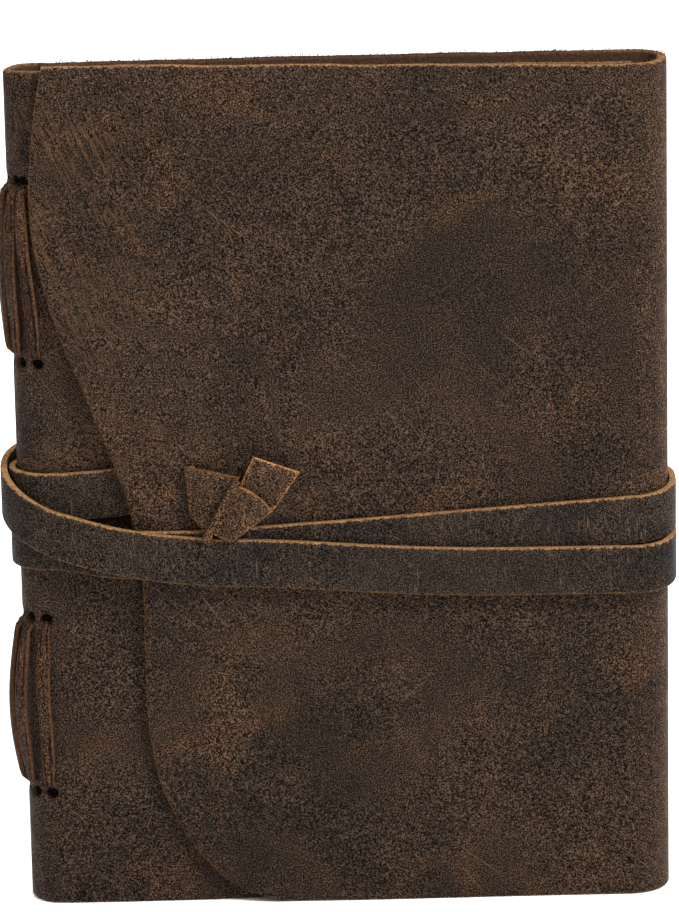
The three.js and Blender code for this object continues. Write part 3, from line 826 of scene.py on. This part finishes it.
def strap():
    path = np.concatenate([
        anchor_run(),
        spine_turn(STRAP_ROUND, ANCHOR_HEIGHT, ANCHOR_HEIGHT)[1:],
        back_run(STRAP_ROUND, ANCHOR_HEIGHT, BACK_HEIGHTS[0]),
        fore_edge_turn(BACK_HEIGHTS[0], FOLD_HEIGHTS[0], 0),
        front_run(0),
        spine_turn(STRAP_ROUND, SPINE_HEIGHTS[0], SPINE_HEIGHTS[0]),
        back_run(STRAP_ROUND, SPINE_HEIGHTS[0], BACK_HEIGHTS[1]),
        fore_edge_turn(BACK_HEIGHTS[1], FOLD_HEIGHTS[1], STRAP_PITCH),
        front_run(1),
        last_turn(SPINE_HEIGHTS[1], TAIL_HEIGHT),
    ])
    out = strap_out(path)
    data = ribbon(path, out, STRAP_WIDTH, STRAP_THICKNESS)
    piece = strap_piece("wrap_strap", data, STRAP_LEATHER, strap_edges(path, out, 21), path)
    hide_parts("strap")
    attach(piece, "flap")


def strap_tail():
    outline = line(SPINE_X + 0.05, STRAP_OUTSIDE, TAIL_END, STRAP_OUTSIDE, 0, 1, 60)
    path = with_height(outline, TAIL_HEIGHT, TAIL_END_HEIGHT)
    out = strap_out(path)
    data = ribbon(path, out, STRAP_WIDTH, STRAP_THICKNESS)
    fibres = strap_edges(path, out, 22)
    end = path[-1] + np.outer(np.linspace(-STRAP_WIDTH / 2, STRAP_WIDTH / 2, 12), [0, 0, 1])
    fibres.along(end, [Vector((1, 0, 0))] * len(end), 6, 2.2, 0.08)
    piece = strap_piece("wrap_strap_tail", data, STRAP_LEATHER, fibres)
    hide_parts("strap_tail")
    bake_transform(piece)


# ---------- laces ----------

def lace(group, column):
    angle = LACE_ANGLES[column]
    leaning = column == 0 and group == "upper"
    bottom, top = STATIONS[2:] if group == "upper" else STATIONS[:2]
    top_angle = LEANING_LACE_TOP if leaning else angle
    share = np.linspace(0, 1, 41)
    arch = np.sin(math.pi * share)
    wander = 1.6 * np.sin(2 * math.pi * share + column) * arch
    degrees = np.radians(angle + (top_angle - angle) * share + wander)
    dive = 1 - np.clip(np.minimum(share, 1 - share) / 0.06, 0, 1)
    radius = COVER_OUTER + GAP + LACE_THICKNESS / 2 + LACE_BOW[group] * arch - LACE_DIVE * dive ** 2
    z = bottom + (top - bottom) * share
    radial = np.stack([-np.cos(degrees), -np.sin(degrees), np.zeros_like(z)], -1)
    path = np.stack([SPINE_X + radial[:, 0] * radius, radial[:, 1] * radius, z], -1)
    along = unit(np.gradient(path, axis=0))
    side = unit(np.cross(along, radial))
    twist = 14 * np.sin(3.1 * share + 1.7 * column + (group == "lower"))
    twist = (np.radians(twist) * arch)[:, None]
    out = np.cross(side, along)
    across = side * np.cos(twist) + out * np.sin(twist)
    out = out * np.cos(twist) - side * np.sin(twist)
    narrow = 1 - 0.42 * np.clip(1 - arch / 0.6, 0, 1)
    points, faces, rim, flesh, wear = ribbon(path, out, 1, LACE_THICKNESS, across, corner=0.3)
    # The ribbon is made one millimetre wide and spread to the lace's own width.
    count = len(points) // len(path)
    spread = (narrow * LACE_WIDTH)[:, None]
    offsets = points.reshape(len(path), count, 3) - path[:, None]
    sideways = np.einsum("ijk,ik->ij", offsets, across)
    offsets = offsets + across[:, None] * (sideways * (spread - 1))[..., None]
    points = (path[:, None] + offsets).reshape(-1, 3)
    rim = rim * LACE_WIDTH
    wear = 0.4 * np.clip(1 - rim / 1.2, 0, 1)
    fibres = Fibres(100 + column + 10 * (group == "lower"))
    for sign in (1, -1):
        edge = path + across * (sign * spread / 2)
        outward = [Vector(a) * sign + Vector(o) * 0.4 for a, o in zip(across, out)]
        fibres.along(edge, outward, 1.1, 0.7, 0.08)
    data = (points, faces, rim, flesh, wear)
    piece = strap_piece(f"thong_{group}_{column + 1}", data, LACE_LEATHER, fibres)
    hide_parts(f"lace_{group}_{column + 1}")
    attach(piece, "root")


# ---------- paper ----------

def signature(index):
    """Folded leaves nested in one another, each a long U in plan."""
    y = (index - (SIGNATURES - 1) / 2) * (SIGNATURE_THICKNESS + GAP)
    reach = COVER_MID - HIDE / 2 - GAP - SIGNATURE_THICKNESS / 2
    x = SPINE_X - math.sqrt(reach * reach - y * y)
    heights = np.linspace(PAGE_BOTTOM, PAGE_TOP, 23)
    points, faces, rims = [], [], []
    leaf = SIGNATURE_THICKNESS / (2 * LEAVES)
    for n in range(LEAVES):
        radius = leaf * (n + 0.5)
        length = PAGE_WIDTH + 0.25 * (LEAVES - n)
        flat = np.concatenate([np.linspace(0, 30, 14)[1:], np.linspace(30, length, 12)[1:]])
        outline = np.concatenate([
            flat_run(x + flat[::-1], y - radius, -1),
            arc((x, y), radius, 270, 90, 8),
            flat_run(x + flat, y + radius, 1),
        ])
        z = heights[:, None] * np.ones(len(outline))
        px = outline[:, 0] * np.ones_like(z)
        py = outline[:, 1] * np.ones_like(z)
        far = smooth(x + length - 6, x + length, px)
        ragged = noise_at(np.stack([0 * z + index, py, z], -1), 5, 2.0 + n) * 0.7
        px = px + ragged * far
        ends = noise_at(np.stack([px, py, 0 * z], -1), 8, 4.0 + n + index) * 0.5
        at_foot = 1 - smooth(PAGE_BOTTOM, PAGE_BOTTOM + 5, z)
        z = z + ends * (smooth(PAGE_TOP - 5, PAGE_TOP, z) - at_foot)
        middle = np.stack([px, py, z], -1)
        normal = np.stack([outline[:, 2] + 0 * z, outline[:, 3] + 0 * z, 0 * z], -1)
        rim = np.minimum(np.minimum(z - PAGE_BOTTOM, PAGE_TOP - z), x + length - px)
        # A leaf's edges aren't rounded, so every point counts as inside.
        square = np.full_like(rim, INSIDE)
        part, part_faces, *_ = thick_sheet(middle, normal, leaf * 0.72, square, soft=0.05, flip=True)
        offset = sum(len(p) for p in points)
        points.append(part)
        faces += [tuple(offset + i for i in face) for face in part_faces]
        rims += [rim.ravel()] * 2
    points, rims = np.concatenate(points), np.concatenate(rims)
    piece = new_piece(f"leaves_{index + 1}", points, faces, PAPER, rim=rims)
    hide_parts(f"signature_{index + 1}")
    if index == SIGNATURES - 1:
        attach(piece, "root")
    else:
        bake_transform(piece)


# ---------- the knot ----------

def patch(name, corners, bulge, replaced, seed, curve=0.0, pale=0.8):
    """A fold of strap between four corners (x, depth, z), crowned in the middle.
    The corners run from the upper left clockwise; depth is measured outwards from the flap."""
    u = near_ends(1, 0.07, 26)
    grid_u, grid_v = np.meshgrid(u, u)
    a, b, c, d = (np.array([p[0], KNOT_BASE - p[1], p[2]], float) for p in corners)
    across = grid_u[..., None]
    down = grid_v[..., None]
    upper = a * (1 - across) + b * across
    lower = c * across + d * (1 - across)
    middle = upper * (1 - down) + lower * down
    crown = np.sin(math.pi * grid_u) ** 0.8 * np.sin(math.pi * grid_v) ** 0.8
    middle[..., 1] -= bulge * crown
    middle[..., 1] -= 0.25 * noise_at(middle, 4, seed)
    # The upper side bows outwards along its run.
    middle[..., 2] += curve * np.sin(math.pi * grid_u) * (1 - grid_v) ** 2
    du = np.gradient(middle, axis=1)
    dv = np.gradient(middle, axis=0)
    normal = unit(np.cross(du, dv))
    flip = normal[..., 1].mean() > 0
    normal *= -1 if flip else 1
    width = np.linalg.norm(b - a) + np.linalg.norm(c - d)
    height = np.linalg.norm(d - a) + np.linalg.norm(c - b)
    rim = np.minimum(
        np.minimum(grid_u, 1 - grid_u) * width / 2,
        np.minimum(grid_v, 1 - grid_v) * height / 2)
    points, faces, rims, flesh = thick_sheet(middle, normal, FOLD_THICKNESS, rim, soft=0.6, flip=flip)
    wear = np.clip(1 - rims / 1.8, 0, 1)
    layers = {"rim": rims, "flesh": flesh, "wear": wear, "pale": np.full_like(wear, pale)}
    piece = new_piece(name, points, faces, KNOT_LEATHER, **layers)
    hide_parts(replaced)
    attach(piece, "flap")


def knot():
    patch("knot_left", [(-37.2, 0.3, 110.2), (-24.2, 2.6, 107.9), (-31.6, 2.6, 93.4), (-36.0, 0.8, 98.6)],
          1.2, "knot_wrap", 31.0, pale=0.35)
    patch("knot_right", [(-24.6, 4.6, 106.3), (-16.7, 3.4, 99.6), (-26.6, 4.4, 92.6), (-31.2, 4.8, 95.0)],
          0.7, "knot_fold", 32.0, curve=1.0)
    patch("knot_end", [(-21.0, 2.2, 112.6), (-10.2, 1.6, 108.5), (-16.6, 1.4, 99.4), (-24.6, 2.4, 105.0)],
          0.5, "strap_head", 33.0, pale=1.3)
    start = np.array([-24.9, KNOT_BASE - 4.9, 107.6])
    end = np.array([-32.8, KNOT_BASE - 5.2, 92.6])
    t = np.linspace(0, 1, 30)[:, None]
    path = start + (end - start) * t
    path[:, 1] -= 0.6 * np.sin(math.pi * t[:, 0])
    path[:, 0] -= 0.4 * np.sin(math.pi * t[:, 0])
    along = unit(np.gradient(path, axis=0))
    across = np.tile([0.0, -1.0, 0.0], (len(path), 1))
    across = unit(across - along * (across * along).sum(1)[:, None])
    out = np.cross(across, along)
    points, faces, rim, flesh, wear = ribbon(path, out, 2.7, 1.7, across, corner=0.6)
    # The fold ends in a rounded tip, a little broader than the rest of it.
    reach = ((points - start) @ (end - start)) / np.sum((end - start) ** 2)
    centre = start + (end - start) * np.clip(reach, 0, 1)[:, None]
    centre[:, 1] = points[:, 1].mean()
    swell = 1 + 0.35 * np.exp(-((reach - 0.9) / 0.08) ** 2) - 0.75 * smooth(0.94, 1.0, reach)
    points = centre + (points - centre) * swell[:, None]
    data = (points, faces, np.full_like(rim, INSIDE), np.zeros_like(flesh), np.full_like(wear, 0.55))
    piece = strap_piece("knot_ridge", data, KNOT_LEATHER)
    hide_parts("knot_roll")
    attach(piece, "flap")


# ---------- studio ----------

CAMERA_AZIMUTH, CAMERA_ELEVATION, CAMERA_ROLL = 0.54, 15.59, -1.14
CAMERA_DISTANCE = 1254.8
CAMERA_TARGET = (-0.66, 0, 108.08)
CAMERA_LENS = 209.2
WORLD_STRENGTH = 0.75
FLOOR_REACH = 6
# A wide overhead panel for the white floor, and a soft key from above the front right.
# Each light has its place and size in metres and its power in watts.
LIGHTS = {
    "overhead": ((0, 0.4, 2.4), 4.5, 160),
    "key": ((0.8, -0.8, 1.1), 0.35, 27),
}


def studio():
    azimuth, elevation = math.radians(CAMERA_AZIMUTH), math.radians(CAMERA_ELEVATION)
    target = Vector(row_point(*CAMERA_TARGET))
    level = math.cos(elevation)
    back = Vector((-math.sin(azimuth) * level, -math.cos(azimuth) * level, math.sin(elevation)))
    camera = bpy.data.objects.new("camera", bpy.data.cameras.new("camera"))
    camera.data.lens = CAMERA_LENS
    camera.data.sensor_width = 36
    camera.data.clip_end = 20
    camera.location = target + back * CAMERA_DISTANCE / 1000
    camera.rotation_euler = (-back).to_track_quat("-Z", "Y").to_euler()
    camera.rotation_euler.rotate_axis("Z", math.radians(CAMERA_ROLL))
    bpy.context.collection.objects.link(camera)
    bpy.context.scene.camera = camera

    world = bpy.data.worlds.new("studio")
    world.use_nodes = True
    background = world.node_tree.nodes["Background"]
    background.inputs["Color"].default_value = (1, 1, 1, 1)
    background.inputs["Strength"].default_value = WORLD_STRENGTH
    bpy.context.scene.world = world
    bpy.context.scene.view_settings.view_transform = "Standard"

    floor_material = Graph("floor").set(
        Base_Color=(0.9, 0.9, 0.9), Roughness=0.9, Specular_IOR_Level=0.1)
    corners = [(x * FLOOR_REACH, y * FLOOR_REACH, 0) for x, y in ((-1, -1), (1, -1), (1, 1), (-1, 1))]
    mesh = bpy.data.meshes.new("floor")
    mesh.from_pydata(corners, [], [(0, 1, 2, 3)])
    mesh.materials.append(floor_material)
    floor = bpy.data.objects.new("floor", mesh)
    bpy.context.collection.objects.link(floor)

    for name, (place, side, power) in LIGHTS.items():
        data = bpy.data.lights.new(name, "AREA")
        data.size = side
        data.energy = power
        light = bpy.data.objects.new(name, data)
        light.location = place
        if name == "key":
            towards = Vector((0, 0, 0.1)) - Vector(place)
            light.rotation_euler = towards.to_track_quat("-Z", "Y").to_euler()
        bpy.context.collection.objects.link(light)


studio()
back_hide()
flap_hide()
front_hide()
strap()
strap_tail()
knot()
for lace_group in LACE_BOW:
    for lace_column in range(len(LACE_ANGLES)):
        lace(lace_group, lace_column)
for signature_index in range(SIGNATURES):
    signature(signature_index)
